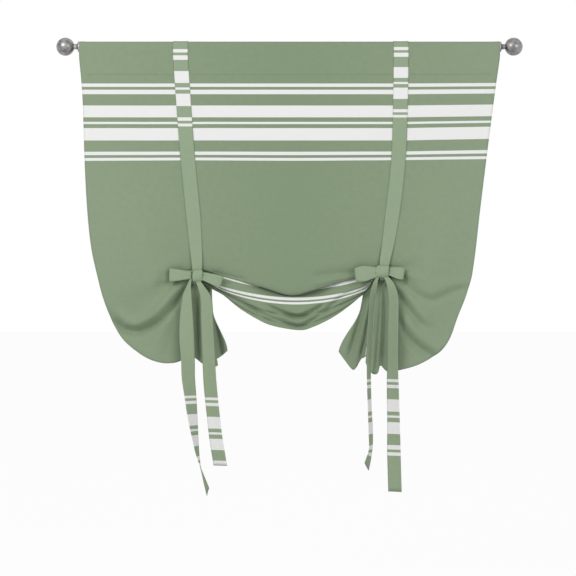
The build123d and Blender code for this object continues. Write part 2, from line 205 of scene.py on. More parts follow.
# The striped border of a side hem is tucked in behind the front pleat, between two of its points
HEM_MAPS = {
    "left": ((0, 0), (0.62, left_lobe_hem.share_at(12)), (0.88, left_lobe_hem.share_at(17)),
             (1, 1)),
    "right": ((0, 0), (0.62, right_lobe_hem.share_at(12)), (0.88, right_lobe_hem.share_at(15)),
              (1, 1))}
print("side hems below the knots:", round(left_lobe_hem.length), "and",
      round(right_lobe_hem.length), "mm")

# %% [markdown]
# Between the ties the cloth hangs to a fold line, goes up and down in hidden tucks behind it,
# and shows again below as the striped swag. It is gathered into a bunch where each tie holds it.

# %% Draw the middle of the panel
FOLD_Z = -690
TUCK_Z = -508
SWAG_HEM_Z = -787
BUNCH_WIDTH = 28
BUNCH_HALF = BUNCH_WIDTH / 2
BUNCH_HEIGHT = 36
BUNCH_FRONT_Y = -13.5
BUNCH_BACK_Y = 18

left_column = Route([
    (LEFT_TOP_X, PANEL_Y, -HEADER_RUN), (-293, -14.6, -160), (-281, -15, -320), (-266, -15, -480),
    (LEFT_KNOT[0], BUNCH_FRONT_Y - 1, LEFT_KNOT[1] + BUNCH_HEIGHT / 2)])
right_column = Route([
    (RIGHT_TOP_X, PANEL_Y, -HEADER_RUN), (307, -14.6, -160), (301, -15, -320), (282, -15, -480),
    (RIGHT_KNOT[0], BUNCH_FRONT_Y - 1, RIGHT_KNOT[1] + BUNCH_HEIGHT / 2)])
middle_panel = Route([
    (PANEL_Y, -HEADER_RUN), (-15, -160), (-17, -320), (-21, -480), (-22, -600), (-21, -636)])
middle_tucks = Route([
    (-21, -636), (-21, -666), (-19, FOLD_Z + 6), (-13, FOLD_Z), (-8, FOLD_Z + 8), (-7, FOLD_Z + 50),
    (-7, TUCK_Z - 40), (-4, TUCK_Z - 4), (0, TUCK_Z - 12), (1, TUCK_Z - 60), (1, FOLD_Z + 50),
    (3, FOLD_Z + 18), (7, FOLD_Z + 12), (10, FOLD_Z + 22), (11, FOLD_Z + 60), (11, TUCK_Z - 40),
    (14, TUCK_Z - 4), (18, TUCK_Z - 12), (19, TUCK_Z - 60), (18, FOLD_Z + 40), (6, FOLD_Z + 8),
    (-10, FOLD_Z - 4), (-15, FOLD_Z - 18), (-17, FOLD_Z - 34), (-16, FOLD_Z - 46),
    (-7, FOLD_Z - 56), (-12, FOLD_Z - 66), (-12, FOLD_Z - 76), (-4, FOLD_Z - 84),
    (-6, SWAG_HEM_Z)])
BUNCH_V = HEADER_V + middle_panel.length
GATHER_LENGTH = CLOTH_LENGTH - BUNCH_V
print("cloth below the knots:", round(GATHER_LENGTH), "mm")
print("route of the tucks and the swag:", round(middle_tucks.length), "mm")

# %% [markdown]
# The swag is the part of the middle that shows below the fold line. From knot to knot its fold
# line and its hem sag in curves of their own, and its stripes hang in a third.

# %% Set the curves of the swag
SWAG_POINT = 21
TUCKED_LENGTH = 788
SWAG_LENGTH = 154
SWAG_TOP = TUCKED_LENGTH / (TUCKED_LENGTH + SWAG_LENGTH)
TUCK_MAP = ((0, 0), (SWAG_TOP, middle_tucks.share_at(SWAG_POINT)), (1, 1))
SWAG_BUNCH_MAP = ((0, 0), (SWAG_TOP, 0.35), (1, 1))
FOLD_SHAPE = smooth([(0, 0), (0.13, 0.27), (0.36, 0.73), (0.5, 1), (0.62, 0.86), (0.78, 0.57),
                     (0.94, 0.32), (1, 0)])
HEM_SHAPE = smooth([(0, 0), (0.11, 0.23), (0.21, 0.53), (0.31, 0.755), (0.4, 0.9), (0.55, 1),
                    (0.63, 0.94), (0.73, 0.78), (0.81, 0.6), (0.885, 0.385), (1, 0)])
# The stripes' curve: its steepness, its lowest x, how far it drops and how far forward it lies.
# Below the last row's height, the rows fit the hem instead.
ROW_RISE = 0.00083
ROW_LOW_X = 18
ROW_DROP = 3
ROW_Y = -12
LAST_ROW_Z = -710
print("the swag takes the last", SWAG_LENGTH, "mm of the cloth")

# %% [markdown]
# The drape is one function from a place on the flat cloth to a place in the room. It could come
# from a cloth simulation, but a simulation rarely lands on the photographed folds, so the big
# folds follow the routes and only the small ones are worked out from waves and noise. The lobes
# come first: a lobe is a fan of cloth that runs from the bunch in a tie to the side hem.

# %% Hang the lobes
LOBE_SWELL = 20
INNER_SHIFT = 24
# How much of its width a flap gains at once, evenly and late, on its way from knot to hem
FLAP_SHARES = {-1: (0.545, 0.10, 0.355), 1: (0.46, 0.25, 0.29)}


def bunch(knot, side, part):
    """Where the gathered rows pass the tie: front and top first, back and bottom last."""
    return (knot[0] + side * BUNCH_HALF,
            BUNCH_FRONT_Y + part * (BUNCH_BACK_Y - BUNCH_FRONT_Y),
            knot[1] + BUNCH_HEIGHT * (0.5 - part))


def lobe_point(knot, hem, hem_map, side, reach, part):
    """A point of the fan of cloth outside a knot: reach runs from the knot to the side hem."""
    start = bunch(knot, side, part)
    end = hem.at(spread(part, hem_map))
    front_pleat = ease((part - 0.42) / 0.16) * (1 - ease((part - 0.62) / 0.04))
    flap = ease((part - 0.84) / 0.05)
    inner = max(front_pleat, flap)
    bend = 1.0 + 0.6 * ease(part * 1.6) * (1 - inner) - 0.25 * inner
    at_once, evenly, late = FLAP_SHARES[side]
    flared = at_once * ease(reach * 14) + evenly * reach + late * ease((reach - 0.4) / 0.6)
    x = start[0] + (end[0] - start[0]) * (reach ** bend + flap * (flared - reach ** bend))
    x -= side * INNER_SHIFT * front_pleat * ease(reach * 7) * (1 - reach)
    z = start[2] + (end[2] - start[2]) * reach
    y = start[1] + (end[1] - start[1]) * reach
    front = 1 - ease((part - 0.30) / 0.25)
    return (x, y - LOBE_SWELL * sin(pi * reach) ** 2 * front, z)


print("middles of the bunches:", bunch(LEFT_KNOT, -1, 0.5), bunch(RIGHT_KNOT, 1, 0.5))

# %% [markdown]
# Above the knots the cloth is nearly flat, so a point is mixed from the routes on its two sides.
# Between the ties every row is slung like a rope from knot to knot, and only how far it sags and
# how far forward it lies changes from row to row.

# %% Hang the panel and the swag
RIGHT_LIFT = 12


def hang_between(left, right, across, hang, centre_y, centre_z):
    """A point on a line slung from left to right. Where hang is 1, it is as low as its middle."""
    chord = mix(left, right, across)
    middle = mix(left, right, 0.5)
    return (chord[0], chord[1] + hang * (centre_y - middle[1]),
            chord[2] + hang * (centre_z - middle[2]))


def panel_point(zone, across, part):
    """A point of the flat part above the knots, where the upper rows of the weave hang level."""
    if zone == "middle":
        x, y, z = hang_between(left_column.at(part), right_column.at(part), across,
                               spread(across, FOLD_SHAPE), *middle_panel.at(part))
    else:
        column = left_column if zone == "left" else right_column
        outline = left_outline if zone == "left" else right_outline
        x, y, z = mix(column.at(part), outline.at(part), across)
        y -= LOBE_SWELL * sin(pi * across) ** 2 * ease((part - 0.45) / 0.55)
    level = -HEADER_RUN - part * middle_panel.length
    if zone == "right":
        level += RIGHT_LIFT * part * across
    return (x, y, level + ease((part - 0.35) / 0.5) * (z - level))


def swag_level(x, across, z):
    """The height of a row of the swag: the stripes share one curve, and the rest fits the hem."""
    rise = ROW_RISE * (x - ROW_LOW_X) ** 2 - ROW_DROP
    if z > LAST_ROW_Z:
        return z + rise
    hem = hang_between(bunch(LEFT_KNOT, 1, 1), bunch(RIGHT_KNOT, -1, 1), across,
                       spread(across, HEM_SHAPE), 0, SWAG_HEM_Z)[2]
    return hem + (z - SWAG_HEM_Z) / (LAST_ROW_Z - SWAG_HEM_Z) * (LAST_ROW_Z + rise - hem)


def middle_point(across, part):
    """A point between the ties, below the knots' height: the hidden tucks, then the swag."""
    held = spread(part, SWAG_BUNCH_MAP)
    row_y, row_z = middle_tucks.at(spread(part, TUCK_MAP))
    hem_share = ease((part - 0.68) / 0.12)
    hang = (1 - hem_share) * spread(across, FOLD_SHAPE) + hem_share * spread(across, HEM_SHAPE)
    x, y, z = hang_between(bunch(LEFT_KNOT, 1, held), bunch(RIGHT_KNOT, -1, held), across, hang,
                           row_y, row_z)
    level = swag_level(x, across, row_z)
    striped = ease(across * (1 - across) * 13) * ease((part - 0.70) / 0.08)
    hidden = (1 - ease((part - 0.77) / 0.03)) + ease((part - 0.87) / 0.06)
    forward = striped * max(1 - hidden, 0) * ease(2.5 - 2.5 * sin(pi * across))
    return (x, y + forward * (ROW_Y - y), z + striped * (level - z))


def zone_point(zone, across, v):
    """A point of one zone, with the narrow band that each tie holds kept at its full width."""
    share = {"left": across - 1, "middle": 1 - 2 * across, "right": 1 - across}[zone]
    shift = share * BUNCH_HALF
    if v < HEADER_V:
        y, z = pocket.at((v - POCKET_V) / pocket.length)
        level = (-HEADER_RUN - z) / (BUNCH_V - HEADER_V)
        return (panel_point(zone, across, level)[0] + shift, y, z)
    if v < BUNCH_V:
        x, y, z = panel_point(zone, across, (v - HEADER_V) / (BUNCH_V - HEADER_V))
        return (x + shift, y, z)
    part = (v - BUNCH_V) / GATHER_LENGTH
    if zone == "left":
        return lobe_point(LEFT_KNOT, left_lobe_hem, HEM_MAPS["left"], -1, across, part)
    if zone == "right":
        return lobe_point(RIGHT_KNOT, right_lobe_hem, HEM_MAPS["right"], 1, across, part)
    return middle_point(across, part)


print("middle of the swag's hem:", tuple(round(c) for c in middle_point(0.5, 1)))

# %% [markdown]
# Near a knot the spare cloth stands in fine pleats that fan out and fade. Coarse folds reach
# further than fine ones, so the pleats are three sets of waves, each with its own reach. The
# flat part only has the soft unevenness of cloth that has been folded away.

# %% Add the pleats and the soft unevenness
# Each set of pleats: how many, how high and how far they reach from the tie
PLEAT_SETS = ((13, 6.5, 55), (7, 7.0, 105), (4, 5.5, 160))
# The hidden small tucks: how many, and their first and last share of the gathered cloth
MIDDLE_TUCKS = (21, 0.07, 0.8)
SIDE_TUCKS = (26, 0.62, 0.88)
TUCK_WAVE = 6.0
# Pleats stand square to the slope of the rows in a bunch
PLEAT_TURN = Vector((0, 0.753, 0.659))
BROAD_RIPPLE = 3.0
FINE_RIPPLE = 1.2
LEFT_TIE_U = EDGE + LEFT_TOP_X
RIGHT_TIE_U = EDGE + RIGHT_TOP_X


def pleat(u, part):
    """How far the cloth stands out of its smooth shape, by its distance from the nearer tie."""
    away = min(abs(u - LEFT_TIE_U), abs(u - RIGHT_TIE_U))
    wander = 0.02 * noise.noise(Vector((u * 0.01, part * 5, 3.7)))
    height = 0.0
    for count, size, reach in PLEAT_SETS:
        height += size * exp(-(away / reach) ** 2) * sin(2 * pi * count * (part + wander) + count)
    count, first, last = MIDDLE_TUCKS if LEFT_TIE_U < u < RIGHT_TIE_U else SIDE_TUCKS
    height += (TUCK_WAVE * sin(2 * pi * count * part)
               * ease((part - first) * 20) * ease((last - part) * 20))
    return height * ease(part * 12) * ease((1 - part) * 20 + 0.3)


def ripple(u, v):
    """Slight waves of the flat panel, none at the top or under the ties."""
    away = min(abs(u - LEFT_TIE_U), abs(u - RIGHT_TIE_U))
    clear = ease((away - 24) / 60) * ease((v - SEAM_V + 20) / 160)
    broad = noise.noise(Vector((u * 0.006, v * 0.0025, 0.4)))
    fine = noise.noise(Vector((u * 0.02, v * 0.006, 5.1)))
    return clear * (BROAD_RIPPLE * broad + FINE_RIPPLE * fine)


print("pleat beside the left tie:", round(pleat(LEFT_TIE_U - 30, 0.3), 1), "mm high")

# %% [markdown]
# Where a lobe or the swag is pulled towards its knot, the cloth creases. A crease is drawn as a
# line seen from the front, with a valley along it and a soft bulge on its fuller side. Sculpting
# could press the same lines in by hand, but lines of points can be moved and tried again.

# %% Draw the creases
CREASE_STEPS = 4
BULGE = 0.6


class Crease:
    """A valley in the front of the cloth along a route seen from the front, fuller on one side."""

    def __init__(self, points, width, depth, fuller=1):
        self.line = smooth(points, CREASE_STEPS)
        self.width = width
        self.depth = depth
        self.fuller = fuller
        margin = 4 * width
        xs, zs = zip(*points)
        self.low = (min(xs) - margin, min(zs) - margin)
        self.high = (max(xs) + margin, max(zs) + margin)

    def push(self, x, z):
        """How far back a point of the cloth is pushed."""
        if not (self.low[0] < x < self.high[0] and self.low[1] < z < self.high[1]):
            return 0.0
        nearest = (1e9, 0.0, 0.0)
        count = len(self.line) - 1
        for i, ((ax, az), (bx, bz)) in enumerate(zip(self.line, self.line[1:])):
            run = (bx - ax) ** 2 + (bz - az) ** 2
            t = min(max(((x - ax) * (bx - ax) + (z - az) * (bz - az)) / run, 0), 1) if run else 0
            away = hypot(x - ax - t * (bx - ax), z - az - t * (bz - az))
            if away < nearest[0]:
                turn = (bx - ax) * (z - az) - (bz - az) * (x - ax)
                nearest = (away, 1 if turn > 0 else -1, (i + t) / count)
        away, hand, along = nearest
        signed = away * hand * self.fuller
        taper = ease(along * 5) * ease((1 - along) * 4)
        valley = exp(-(signed / self.width) ** 2)
        bulge = BULGE * exp(-((signed - 2 * self.width) / (1.3 * self.width)) ** 2)
        return self.depth * taper * (valley - bulge)


# Each crease has its line, its width, its depth and the side on which the cloth is fuller
CREASES = (
    Crease([(-271, -647), (-298, -685), (-326, -722), (-359, -757), (-393, -778), (-423, -789),
            (-454, -784), (-476, -768), (-493, -748), (-515, -708)], 11, 19, -1),
    Crease([(-292, -700), (-300, -760), (-312, -830), (-318, -880)], 22, 10, -1),
    Crease([(-285, -628), (-330, -640), (-372, -668)], 14, 5, -1),
    Crease([(312, -610), (340, -605), (365, -613)], 9, 4, 1),
    Crease([(298, -649), (329, -674), (359, -693), (395, -704), (426, -691), (459, -678),
            (495, -672), (530, -668)], 11, 6, 1),
    Crease([(295, -667), (312, -700), (332, -733), (357, -764), (384, -789)], 11, 9, 1),
    Crease([(293, -744), (307, -781), (329, -811), (357, -835), (393, -858), (410, -868)],
           13, 12, 1),
    Crease([(225, -622), (170, -626), (100, -633), (50, -640)], 9, 7, 1),
    Crease([(-220, -628), (-170, -640), (-110, -655)], 9, 5, -1))
SWAG_CREASES = (
    Crease([(-76, -711), (-38, -728), (4, -745), (29, -747), (54, -736), (85, -720), (112, -709)],
           4.5, 9, 1),
    Crease([(-137, -706), (-104, -725), (-65, -745), (-26, -760), (7, -771), (29, -774), (57, -760),
            (90, -742), (123, -724)], 4.5, 9, 1),
    Crease([(-93, -736), (-71, -751), (-50, -761)], 4, 6, 1),
    Crease([(-64, -735), (-31, -749), (2, -763)], 4, 5, 1),
    Crease([(200, -650), (165, -680), (120, -714), (85, -740)], 6, 6, -1))
FLAP_CREASES = (
    Crease([(-256, -655), (-253, -786), (-247, -885)], 6, 8, 1),
    Crease([(-240, -660), (-224, -790), (-212, -890)], 6, 7, 1),
    Crease([(-232, -668), (-204, -790), (-188, -875)], 7, 6, 1),
    Crease([(240, -650), (218, -772), (196, -870)], 6, 7, -1),
    Crease([(250, -655), (239, -786), (229, -905)], 5, 7, -1),
    Crease([(262, -655), (260, -786), (253, -890)], 5, 8, -1),
    Crease([(226, -665), (190, -780), (162, -875)], 7, 6, -1))
print("creases:", len(CREASES) + len(SWAG_CREASES) + len(FLAP_CREASES))

# %% [markdown]
# Now the parts are joined. The flat cloth has a left, a middle and a right zone, with a narrow
# band at each tie that is mixed from the zones on its two sides, so nothing tears there.

# %% Drape the cloth
# The front layer ends at these shares of the cloth below the knots
MIDDLE_FRONT = 0.045
LOBE_FRONT = 0.42
TUCKS_END = SWAG_TOP - 0.02


def crease_push(u, v, x, z):
    """All creases at a point, but only where the cloth is the front layer."""
    if v < HEADER_V:
        return 0.0
    part = (v - BUNCH_V) / GATHER_LENGTH
    in_middle = LEFT_TIE_U < u < RIGHT_TIE_U
    away = ease((min(abs(u - LEFT_TIE_U), abs(u - RIGHT_TIE_U)) - 12) / 30)
    if part < (MIDDLE_FRONT if in_middle else LOBE_FRONT):
        fade = 1.0 if in_middle else ease((LOBE_FRONT - part) * 12)
        return fade * away * sum(crease.push(x, z) for crease in CREASES)
    if in_middle and part < SWAG_TOP:
        return 0.0
    chosen = SWAG_CREASES if in_middle else FLAP_CREASES
    return away * sum(crease.push(x, z) for crease in chosen)


def drape(u, v):
    """From a place on the flat cloth, in millimetres from its top left corner, to the room."""
    left_band = LEFT_TIE_U - BUNCH_HALF
    right_band = RIGHT_TIE_U - BUNCH_HALF
    if u < left_band:
        point = zone_point("left", 1 - u / left_band, v)
    elif u < left_band + BUNCH_WIDTH:
        point = mix(zone_point("left", 0, v), zone_point("middle", 0, v),
                    (u - left_band) / BUNCH_WIDTH)
    elif u < right_band:
        span = right_band - left_band - BUNCH_WIDTH
        point = zone_point("middle", (u - left_band - BUNCH_WIDTH) / span, v)
    elif u < right_band + BUNCH_WIDTH:
        point = mix(zone_point("middle", 1, v), zone_point("right", 0, v),
                    (u - right_band) / BUNCH_WIDTH)
    else:
        inner_edge = right_band + BUNCH_WIDTH
        point = zone_point("right", (u - inner_edge) / (CLOTH_WIDTH - inner_edge), v)
    place = Vector(point)
    if v > BUNCH_V:
        part = (v - BUNCH_V) / GATHER_LENGTH
        if LEFT_TIE_U < u < RIGHT_TIE_U and part < TUCKS_END:
            place.y += abs(pleat(u, part))
        else:
            place += PLEAT_TURN * pleat(u, part)
    place.y += crease_push(u, v, place.x, place.z) - ripple(u, v)
    return place * MM


print("middle of the fold line:", tuple(round(c, 3) for c in drape(EDGE, BUNCH_V + 60)))

# %% [markdown]
# A sheet starts as a flat grid from one operator, and each corner of it is then moved to its
# place. Its UV map keeps the flat cloth's own coordinates in metres, so the stripes and the weave
# go round every fold as they do on real cloth. An unwrap of the finished folds couldn't do that.

# %% Turn a flat grid into cloth
BODY_THICKNESS = 1.1
HEM_THICKNESS = 2.0


def new_object(name, bm):
    """A mesh object from a bmesh, shaded smooth, at the origin."""
    mesh = bpy.data.meshes.new(name)
    bm.to_mesh(mesh)
    bm.free()
    for polygon in mesh.polygons:
        polygon.use_smooth = True
    made = bpy.data.objects.new(name, mesh)
    bpy.context.scene.collection.objects.link(made)
    return made


def cloth_patch(bm, columns, rows, place_at, flat_at):
    """A grid moved corner by corner: place_at and flat_at take shares across and along."""
    uv = bm.loops.layers.uv.get("UVMap") or bm.loops.layers.uv.new("UVMap")
    made = bmesh.ops.create_grid(bm, x_segments=columns, y_segments=rows, size=0.5)["verts"]
    shares = {vert: (vert.co.x + 0.5, 0.5 - vert.co.y) for vert in made}
    faces = {face for vert in made for face in vert.link_faces}
    for face in faces:
        for loop in face.loops:
            loop[uv].uv = flat_at(*shares[loop.vert])
    for vert, (across, along) in shares.items():
        vert.co = place_at(across, along)
    return shares


def thicken(made, thickness):
    """Gives a sheet its thickness, half of it on each side."""
    wall = made.modifiers.new("thickness", "SOLIDIFY")
    wall.thickness = thickness * MM
    wall.offset = 0
    return wall


print("cloth:", BODY_THICKNESS, "mm thick, and", HEM_THICKNESS, "mm at its hems")

# %% [markdown]
# The panel's grid is finer where the cloth bends more. Its hems are folded over and sewn, so a
# vertex group makes the wall thicker there than in the body of the cloth.

# %% Make the panel
SHEET_COLUMNS = 200
SHEET_ROWS = 240
FINE_BAND = 60
COLUMN_MAP = ((0, 0), (0.17, LEFT_TIE_U - FINE_BAND), (0.23, LEFT_TIE_U - BUNCH_HALF),
              (0.255, LEFT_TIE_U + BUNCH_HALF), (0.315, LEFT_TIE_U + FINE_BAND),
              (0.685, RIGHT_TIE_U - FINE_BAND), (0.745, RIGHT_TIE_U - BUNCH_HALF),
              (0.77, RIGHT_TIE_U + BUNCH_HALF), (0.83, RIGHT_TIE_U + FINE_BAND), (1, CLOTH_WIDTH))
ROW_MAP = ((0, POCKET_V), (0.04, -50), (0.135, 24), (0.33, BUNCH_V), (0.81, CLOTH_LENGTH - 170),
           (1, CLOTH_LENGTH))
SIDE_HEM = 14
BOTTOM_HEM = 25


def panel_flat(across, along):
    """The flat cloth's place, in millimetres, for shares of the grid."""
    return (spread(across, COLUMN_MAP), spread(along, ROW_MAP))


def in_hem(u, v):
    return min(u, CLOTH_WIDTH - u) < SIDE_HEM or v > CLOTH_LENGTH - BOTTOM_HEM


sheet_bm = bmesh.new()
sheet_shares = cloth_patch(
    sheet_bm, SHEET_COLUMNS, SHEET_ROWS,
    lambda across, along: drape(*panel_flat(across, along)),
    lambda across, along: Vector(panel_flat(across, along)) * MM)
sheet_bm.verts.index_update()
hem_verts = [vert.index for vert, shares in sheet_shares.items() if in_hem(*panel_flat(*shares))]
curtain = new_object("curtain_cloth", sheet_bm)
curtain.vertex_groups.new(name="hems").add(hem_verts, 1.0, "ADD")
curtain_wall = thicken(curtain, HEM_THICKNESS)
curtain_wall.vertex_group = "hems"
curtain_wall.thickness_vertex_group = BODY_THICKNESS / HEM_THICKNESS
area = sum(polygon.area for polygon in curtain.data.polygons)
print("sheet:", len(curtain.data.polygons), "faces,", round(area, 3), "square metres")

# %% [markdown]
# Each tie is a sewn strip of the same cloth. One hangs down the front and one down the back, and
# below the gathers they are knotted in a bow. A strip is a grid laid along stations, each with a
# middle point, a width and the direction of the width, and slightly cupped so it catches light.

# %% Make a strip of cloth
TIE_WIDTH = 41
TIE_THICKNESS = 1.2
STRAIGHT = (1, 0, 0)


def strip(bm, stations, stripe_start, stripe_step, cup, gather, columns=10, rows_each=6):
    """A strip along stations. Its stripe coordinate starts at a place on the cloth's border."""
    route = Route([(*place, width, *turn) for place, width, turn in stations])
    length = Route([station[0] for station in stations]).length

    def place_at(across, along):
        x, y, z, width, a, b, c = route.at(along)
        before = Vector(route.at(along - 0.01)[:3])
        after = Vector(route.at(along + 0.01)[:3])
        turn = Vector((a, b, c)).normalized()
        normal = turn.cross(after - before).normalized()
        side = across - 0.5
        lift = cup * (1 - 4 * side * side)
        lift += gather * sin(5 * pi * side) * (1 - sin(pi * along)) ** 2
        return (Vector((x, y, z)) + turn * (width * side) + normal * lift) * MM

    def flat_at(across, along):
        return (across * TIE_WIDTH * MM, stripe_start + stripe_step * along * length * MM)

    cloth_patch(bm, columns, rows_each * (len(stations) - 1), place_at, flat_at)
    return length


def across_at(twist, dip=0):
    """The direction of a strip's width: straight across the curtain, then twisted and dipped."""
    flat = cos(radians(dip))
    return (flat * cos(radians(twist)), flat * sin(radians(twist)), -sin(radians(dip)))


print("ties:", TIE_WIDTH, "mm wide")

# %% [markdown]
# A strap is sewn over the pocket and hangs from it. The front one lies on the panel down to the
# knot. The back one hangs behind, goes under the gathered cloth and comes forward to the knot.

# %% Lay out the straps
CLEAR = 1.5
KNOT_BACK = PANEL_Y - 8
KNOT_DEPTH = 14
KNOT_WIDTH = 26
KNOT_HEIGHT = 30
KNOT_FRONT = KNOT_BACK - KNOT_DEPTH
KNOT_MIDDLE = KNOT_FRONT + KNOT_DEPTH / 2
STRAP_RADIUS = -PANEL_Y + CLEAR
FRONT_PARTS = (0, 0.12, 0.28, 0.45, 0.6, 0.75, 0.88)
BACK_PARTS = (0.12, 0.3, 0.5, 0.7, 0.85)


def over_rod(top_x, angles):
    """Stations of a strap on the pocket, at angles round the rod from behind to the front."""
    return [((top_x, STRAP_RADIUS * cos(radians(angle)), STRAP_RADIUS * sin(radians(angle))),
             TIE_WIDTH, STRAIGHT) for angle in angles]


def front_strap(column, knot):
    """From behind the top edge, over it and down the front to the knot."""
    top_x = column.at(0)[0]
    stations = over_rod(top_x, (70, 90, 110, 130, 150, 170))
    stations.append(((top_x, PANEL_Y - CLEAR, -HEADER_RUN / 2), TIE_WIDTH, STRAIGHT))
    for part in FRONT_PARTS:
        x, y, z = column.at(part)
        width = TIE_WIDTH - 1.5 * part - 6 * ease((part - 0.75) / 0.2)
        stations.append(((x + 2 * part ** 4, y - CLEAR - part, z), width, STRAIGHT))
    for aside, back, above, width in ((1.5, 0.2, 27, TIE_WIDTH - 13), (0, 1.4, 9, KNOT_WIDTH - 2),
                                      (0, 1.8, 1, KNOT_WIDTH - 4)):
        place = (knot[0] + aside, KNOT_BACK - back, knot[1] + above)
        stations.append((place, width, STRAIGHT))
    return stations


def back_strap(column, knot):
    """From the top edge down behind, under the gathers and forward to the knot."""
    stations = over_rod(column.at(0)[0], (62, 45, 30, 15, 0))
    for part in BACK_PARTS:
        x, y, z = column.at(part)
        stations.append(((x, STRAP_RADIUS + part * 10, z), TIE_WIDTH - 3 * part, STRAIGHT))
    under = knot[1] - BUNCH_HEIGHT / 2 - 6
    narrow = KNOT_WIDTH - 2
    for y, z, width in ((BUNCH_BACK_Y + 8, knot[1] + 22, TIE_WIDTH - 14),
                        (BUNCH_BACK_Y + 8, knot[1] - 6, narrow),
                        (BUNCH_BACK_Y + 2, under + 2, narrow),
                        (BUNCH_BACK_Y - 10, under - 1, narrow),
                        (0, under, narrow), (BUNCH_FRONT_Y - 1, under + 5, narrow),
                        (KNOT_BACK - 2, knot[1] - KNOT_HEIGHT / 2 + 0.9, narrow)):
        stations.append(((knot[0], y, z), width, STRAIGHT))
    return stations


print("knots stand", round(-KNOT_FRONT, 1), "mm in front of the rod's axis")

# %% [markdown]
# A bow is a wrap over a rounded core, two loops and two tails. All of them are strips too, so
# the bow has the ties' own width, thickness and weave.

# %% Lay out the bows
# Over the front of a knot: the angle, how much narrower than the wrap, and the width's slope
WRAP_ARC = ((-90, -5, 0), (-75, -3, 0), (-55, -1, 0.1), (-30, 0, 0.18), (0, 0, 0.22),
            (30, 0, 0.18), (55, -1, 0.1), (75, -3, 0), (90, -5, 0))
# Round a loop seen from above: shares of its length and of its fullness
LOOP_PLAN = ((0, -0.25), (0.3, -0.7), (0.6, -1), (0.85, -0.9), (0.97, -0.5), (1, 0),
             (0.97, 0.5), (0.85, 0.9), (0.6, 0.95), (0.3, 0.55), (0, 0.25))
LOOP_LEAD = 7


def knot_wrap(x, z, width):
    """The turn of cloth over the front of a knot."""
    return [((x + 0.01 * angle, KNOT_FRONT + 0.4 + 10 * (1 - cos(radians(angle))),
              z + KNOT_HEIGHT / 2 * sin(radians(angle))), width + narrower, (1, 0, slope))
            for angle, narrower, slope in WRAP_ARC]


def knot_core(bm, knot):
    """The rounded inside of a knot, which the wrap goes over."""
    half = Vector((KNOT_WIDTH / 2, (KNOT_DEPTH - 3) / 2, KNOT_HEIGHT / 2 - 2)) * MM
    middle = Vector((knot[0], KNOT_MIDDLE + 1, knot[1])) * MM
    place = Matrix.Translation(middle) @ Matrix.Diagonal((*half, 1))
    bmesh.ops.create_uvsphere(bm, u_segments=24, v_segments=14, radius=1, matrix=place)


def bow_loop(knot, side, aside, above, length, heights, tilt, fullness, rounding):
    """One loop of a bow: out from beside the knot in front, round, and back in behind."""
    lean = radians(tilt)
    start_x = knot[0] + side * (KNOT_WIDTH / 2 + aside)
    at_knot, at_end = heights
    return [((start_x + side * reach * length * cos(lean),
              KNOT_MIDDLE - LOOP_LEAD * reach + fullness * swell,
              knot[1] + above - reach * length * sin(lean)),
             at_knot + (at_end - at_knot) * reach - rounding * ease((reach - 0.7) / 0.3),
             (sin(lean * side), 0, cos(lean)))
            for reach, swell in LOOP_PLAN]


def tail(knot, stations):
    """A hanging end. The stations' x and z are counted from the knot."""
    return [((knot[0] + x, y, knot[1] + z), width, across_at(*turns))
            for x, y, z, width, *turns in stations]


print("a knot is", KNOT_WIDTH, "by", KNOT_HEIGHT, "mm")

# %% [markdown]
# The stripes are the panel's own border, so each strip is given a start on that border: the
# strap begins partway into it at the top edge, and each tail runs into it from its cut end.

# %% Cut the four ties
# Where a strip starts on the flat cloth, in metres, and how much its stripes are drawn together
STRAP_STRIPES = {"left": (0.0875, 1.0), "right": (0.090, 1.1)}
TAIL_STRIPES = {"left_front_tie": (0.0427, 1.10), "left_back_tie": (0.1401, 1.055),
                "right_front_tie": (0.0933, 1.019), "right_back_tie": (0.0241, 1.019)}
# A place on the cloth without stripes, held all along a strip
PLAIN = (0.6, 0)
LOOP_GATHER = 1.4
# Each station of a tail: x from the knot, y, z from the knot, width, twist and, if any, dip
TAILS = {
    "left_front_tie": (
        (-14, KNOT_MIDDLE - 1, -4, 4, 0), (-21, KNOT_MIDDLE - 4, -28, 12, 10),
        (-26, -37, -64, 26, 4), (-27, -39, -150, 40, 10), (-23, -39, -233, 40, 22),
        (-22, -37, -280, 40, 28), (-16, -35, -336, 40, 40), (-11, -33, -386, 40, 50),
        (-4, -31, -442, 40, 66), (4, -30, -496, 40, 81), (16, -29, -545, 40, 95, 12),
        (32, -28, -597, 40, 103, 38)),
    "left_back_tie": (
        (4, KNOT_MIDDLE - 2, -13.8, 13, 0), (14, -37, -32, 20, -8), (26, -38, -62, 32, -20),
        (29, -38, -130, 38, -28), (34, -36, -228, 39, -26), (38, -35, -300, 40, -25),
        (47, -33, -390, 40, -25), (54, -32, -450, 40, -22), (66, -31, -524, 40, -20)),
    "right_front_tie": (
        (-14, KNOT_MIDDLE - 1, -5, 4, 0), (-25, KNOT_MIDDLE - 4, -32, 14, 30),
        (-34, -36, -80, 30, 62), (-40, -38, -160, 38, 68), (-43, -38, -224, 40, 72),
        (-43, -37, -300, 40, 73), (-41, -35, -370, 40, 74), (-38, -33, -440, 40, 72),
        (-38, -32, -490, 40, 74), (-49, -31, -539, 40, 68, 36)),
    "right_back_tie": (
        (4, KNOT_MIDDLE - 2, -13.8, 13, 0), (16, -37, -34, 22, -20), (24, -38, -76, 34, -40),
        (23, -38, -160, 38, -44), (22, -37, -250, 39, -44), (23, -36, -330, 40, -38),
        (25, -34, -420, 40, -34), (26, -33, -500, 40, -26), (29, -32, -608, 40, -26))}
# How far the wrap sits beside the knot's middle, and its width
WRAPS = {"left": (3, 28), "right": (-6, 37)}
